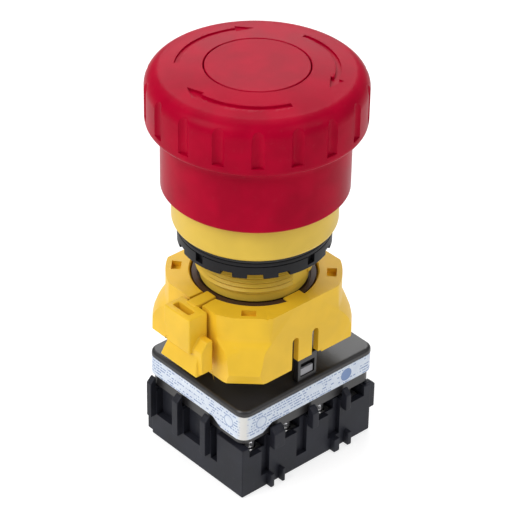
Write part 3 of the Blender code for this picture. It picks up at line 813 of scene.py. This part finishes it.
def leaning_foot():
    """The foot: a box whose upper face is drawn in, so that the front leans."""
    foot = block((LOCK_FACE, -6.9, 26.0), (-15.9, 3.3, 31.3))
    activate(foot)
    bpy.ops.object.mode_set(mode="EDIT")
    bpy.ops.mesh.select_all(action="DESELECT")
    bpy.ops.mesh.select_mode(type="FACE")
    bpy.ops.object.mode_set(mode="OBJECT")
    for face in foot.data.polygons:
        face.select = face.normal.z > 0.9
    bpy.ops.object.mode_set(mode="EDIT")
    bpy.ops.transform.resize(value=(0.55, 0.70, 1))
    bpy.ops.transform.translate(value=(0.5 * MM, 0, 0))
    bpy.ops.object.mode_set(mode="OBJECT")
    return foot


lock = block((LOCK_FACE, -5.0, 30.2), (-15.6, 2.1, 37.7))
add(lock, leaning_foot())
cheek = block((-19.0, -7.35, 26.4), (-16.3, -4.6, 33.1))
slice_off(cheek, (-18.2, 0, 32.4), (-0.8, 0, 0.6))
add(lock, cheek)
cut(lock, block((-21, 1.5, 30.6), (-18.9, 2.6, 33.4)))
add(lock, block((-16.2, -2.4, 36.3), (-11.25, 0.1, 37.95)))
cut(lock, block((-18.6, -3.4, 34.6), (-17.2, 1.0, 39)))
bevel(tidy(lock, 0.05), 0.28, 3, 30, False)
fit(lock, "lever_lock_clip", "lock", "lever_lock", yellow_plastic)

# %% [markdown]
# ## The contact block
#
# The cover is a black shell with a rounded lid. Its raised middle fits inside the yellow base, and
# a small boss with a window takes the snap finger. A recess round its sides holds the label.

# %% Rounded boxes
def upright_box(low, high, radius, foot, top, top_edge=0.0):
    """A box with rounded upright corners, made by bevelling its four upright edges."""
    piece = block((*low, foot), (*high, top))
    activate(piece)
    bpy.ops.object.mode_set(mode="EDIT")
    bpy.ops.mesh.select_mode(type="EDGE")
    bpy.ops.mesh.select_all(action="DESELECT")
    bpy.ops.object.mode_set(mode="OBJECT")
    mesh = piece.data
    for edge in mesh.edges:
        start, end = (mesh.vertices[index].co for index in edge.vertices)
        edge.select = abs(start.z - end.z) > 1e-6
    bpy.ops.object.mode_set(mode="EDIT")
    bpy.ops.mesh.bevel(offset=radius * MM, segments=10, affect="EDGES")
    bpy.ops.mesh.select_all(action="DESELECT")
    bpy.ops.object.mode_set(mode="OBJECT")
    if top_edge:
        for edge in mesh.edges:
            edge.select = all(mesh.vertices[index].co.z > top * MM - 1e-6 for index in edge.vertices)
        bpy.ops.object.mode_set(mode="EDIT")
        bpy.ops.mesh.bevel(offset=top_edge * MM, segments=5, affect="EDGES")
        bpy.ops.object.mode_set(mode="OBJECT")
    return piece


def inset(amount):
    return BLOCK_LOW + Vector((amount, amount)), COVER_HIGH - Vector((amount, amount))


# %% Cover
cover = upright_box(*inset(0), 2.2, 18.35, BLOCK_TOP, 0.7)
add(cover, upright_box(*inset(0.45), 2.0, 11.9, 18.7))
plateau = base_body("plateau", [(0, 19.0), (16.6, 19.0), (16.6, 23.4), (16.3, 23.7), (0, 23.7)], 0.7)
add(cover, plateau)
add(cover, block((-0.7, -13.45, 19.0), (4.0, -12.0, 24.9), 0.15))
cut(cover, upright_box(*inset(1.95), 1.5, 10.0, 17.8))
cut(cover, block((-0.07, -14, 20.4), (3.4, -12.4, 23.4)))
for x in (-6, -2, 2, 6):
    cut(cover, block((x - 1.7, -2.5, 16), (x + 1.7, 2.5, 25)))
for x, y in ((-11.2, -1.2), (13.4, -1.2)):
    tube = turn("tube", [(1.25, 12.2), (2.0, 12.2), (2.0, 18.0), (1.25, 18.0)], 32, True, (x, y))
    add(cover, tube)
fit(cover, "block_cover_shell", "contact_unit", "block_cover", black_plastic)

# %% Window flag
flag = block((0.1, -13.25, 20.45), (3.2, -12.75, 22.0), 0.1)
fit(flag, "snap_finger_flag", "contact_unit", "block_cover", grey_plastic)

# %% [markdown]
# The label is a paper band in the cover's recess, and hangs lower round the front corner. Its print
# is only rows of small dashes with two plain rings and a dot, so it carries no lettering and no
# mark. One coordinate runs along all four sides: x - y grows steadily from the left corner, past
# the front corner, to the right one.

# %% Label print
def label_finish():
    made = Finish("printed_label", Specular_IOR_Level=0.3)
    split = [made.space.node("ShaderNodeSeparateXYZ", {}, {0: made.space}, axis) for axis in range(3)]
    along, height = split[0] - split[1], split[2]
    line = (height * (1 / 0.62)).apply("FRACT")
    in_line = line.over(0.30) * (1.0 - line.over(0.72))
    row = (height * (1 / 0.62)).apply("FLOOR") * 5.3
    spot = made.space.node("ShaderNodeCombineXYZ", {}, {0: along, 1: row})
    fine, coarse = {"Vector": spot, "Scale": 2.6, "Detail": 1.0}, {"Vector": spot, "Scale": 0.33, "Detail": 0.0}
    letters = made.space.node("ShaderNodeTexNoise", {}, fine).over(0.47)
    blocks = made.space.node("ShaderNodeTexNoise", {}, coarse).over(0.43)
    print_share = in_line * letters * blocks * 0.78

    def distance(centre, level):
        return ((along - centre) * (along - centre) + (height - level) * (height - level)).apply("SQRT")
    for centre, level in ((-4.6, 15.9), (3.9, 15.7)):
        far = distance(centre, level)
        ring_share = far.over(1.05) * (1.0 - far.over(1.3))
        print_share = print_share * far.over(1.3) + ring_share * 0.55
    far = distance(25.3, 16.3)
    print_share = print_share * far.over(1.5) + (1.0 - far.over(1.35)) * 0.85
    at_corner = (along + 0.6).apply("ABSOLUTE").between(0.7, 1.7)
    body = made.mix(made.noise(2.4, 3.0).between(0.35, 0.65), (0.63, 0.69, 0.79, 1), (0.70, 0.76, 0.84, 1))
    body = made.mix(at_corner, (0.72, 0.71, 0.68, 1), body)
    made.feed(Base_Color=made.mix(print_share * at_corner, body, (0.10, 0.19, 0.42, 1)))
    grain = made.noise(0.12, 2.0)
    made.feed(Roughness=0.42 + grain * 0.15)
    return made.relief(grain, 0.003).material


# %% Label band
label = upright_box(*inset(0.05), 2.15, 13.0, 18.2)
cut(label, upright_box(*inset(0.30), 1.95, 12.0, 19.0))
left_lift = block((-20, -8.15, 11), (20, 20, 14.35))
slice_off(left_lift, (0, -8.15, 13.0), (0, -0.5, 0.87))
right_lift = block((-10.1, -20, 11), (20, 20, 14.35))
slice_off(right_lift, (-10.1, 0, 13.0), (-0.5, 0, 0.87))
cut(label, left_lift)
cut(label, right_lift)
fit(label, "label_band_print", "contact_unit", "label_band", label_finish())

# %% [markdown]
# ## Terminal base
#
# The lower half carries the screw terminals. Ribs part the wire bays, and the bays open to the
# sides and downwards to the screws.

# %% Terminal base
def rib(low, high, edge=0.12, slope=None):
    """A rib, whose outer top edge can be sloped off along a direction."""
    piece = block(low, high)
    if slope:
        away = Vector(slope)
        corner = Vector([high[axis] if away[axis] > 0 else low[axis] for axis in range(3)])
        slice_off(piece, corner - away.normalized() * 0.75, away.normalized())
    return bevel(piece, edge, 2, 30)


terminal = block((*BLOCK_LOW, 0), (*TERMINAL_HIGH, 11.0), 0.25)
bays = [block((-8.5, -5.7, 2.7), (8.5, 5.6, 12))]
FRONT_ROW, REAR_ROW = (-11.2, (-11.0, -2.2, 6.4, 13.6), -15, -8.4), (8.7, (-10.7, -3.9, 4.9, 13.6), 12.5, 6.05)
for y, spots, face, back in (FRONT_ROW, REAR_ROW):
    near = face + math.copysign(1.9, -face)
    for x in spots:
        bays.append(block((x - 2.3, min(near, back), 4.0), (x + 2.3, max(near, back), 12)))
        bays.append(block((x - 2.3, min(face, back), 8.8), (x + 2.3, max(face, back), 12)))
        bays.append(turn("driver_hole", [(0, -1), (1.7, -1), (1.7, 5), (0, 5)], 24, False, (x, y)))
for low, high in ((-10.3, -8.3), (-1.4, 1.1), (6.7, 9.6)):
    bays.append(block((low, -15, 3.0), (high, -13.4, 12)))
for low, high in ((4.7, 10.4), (-3.4, 2.5)):
    bays.append(block((-16, low, 5.2), (-13.5, high, 12)))
bays.append(block((-16, -7.2, 4.3), (-13.6, -5.4, 12)))
for low, high in ((-6.0, 0.0), (1.6, 7.4)):
    bays.append(block((16.2, low, 5.2), (19, high, 12)))
for bay in bays:
    cut(terminal, bay)
for low, high in ((-8.3, -5.6), (1.3, 2.9), (9.9, 11.2)):
    add(terminal, rib((low, -14.4, 3.0), (high, -13.2, 11.4)),
        rib((low, -15.8, 8.8), (high, -14.3, 13.4), 0.3, (0, -1, 1)))
for low, high in ((-8.8, -7.9), (-5.9, -5.2), (7.4, 8.8), (10.9, 11.9)):
    add(terminal, rib((low, -15.6, 0), (high, -13.5, 3.0), 0.2))
for low, high in ((-14.9, -13.8), (-8.0, -6.8), (-1.3, 0.2), (8.0, 10.4)):
    add(terminal, rib((low, 11.0, 0.6), (high, 13.2, 11.4)))
for low, high in ((10.6, 11.85), (2.8, 4.4), (-5.2, -3.7)):
    add(terminal, rib((-16.3, low, 5.0), (-13.2, high, 11.6)),
        rib((-16.3, low, 11.0), (-14.95, high, 13.9), 0.15, (-1, 0, 1)))
for low, high in ((-14.3, -13.1), (-7.8, -6.2), (0.2, 1.4), (7.6, 9.0)):
    add(terminal, rib((16.5, low, 5.0), (18.9, high, 11.4), 0.2, (1, 0, 1)))
fit(terminal, "terminal_base_moulding", "contact_unit", "terminal_base", base_plastic)

# %% Finish the carried-over nodes
CARRIED = {
    "block_screw": zinc_steel, "terminal_screw": zinc_steel, "latch_pin": zinc_steel,
    "contact_spring": spring_steel, "return_spring": spring_steel, "latch_spring": spring_steel,
    "reset_torsion_spring": spring_steel, "fixed_terminal": tinned, "moving_contact": brass,
    "plunger": acetal, "spindle": acetal, "cam_sleeve": acetal, "contact_pusher": acetal,
    "dust_seal": rubber,
}
for name, node in frame["nodes"].items():
    for start, finish in CARRIED.items():
        if name.startswith(start):
            node.data.materials.clear()
            node.data.materials.append(finish)
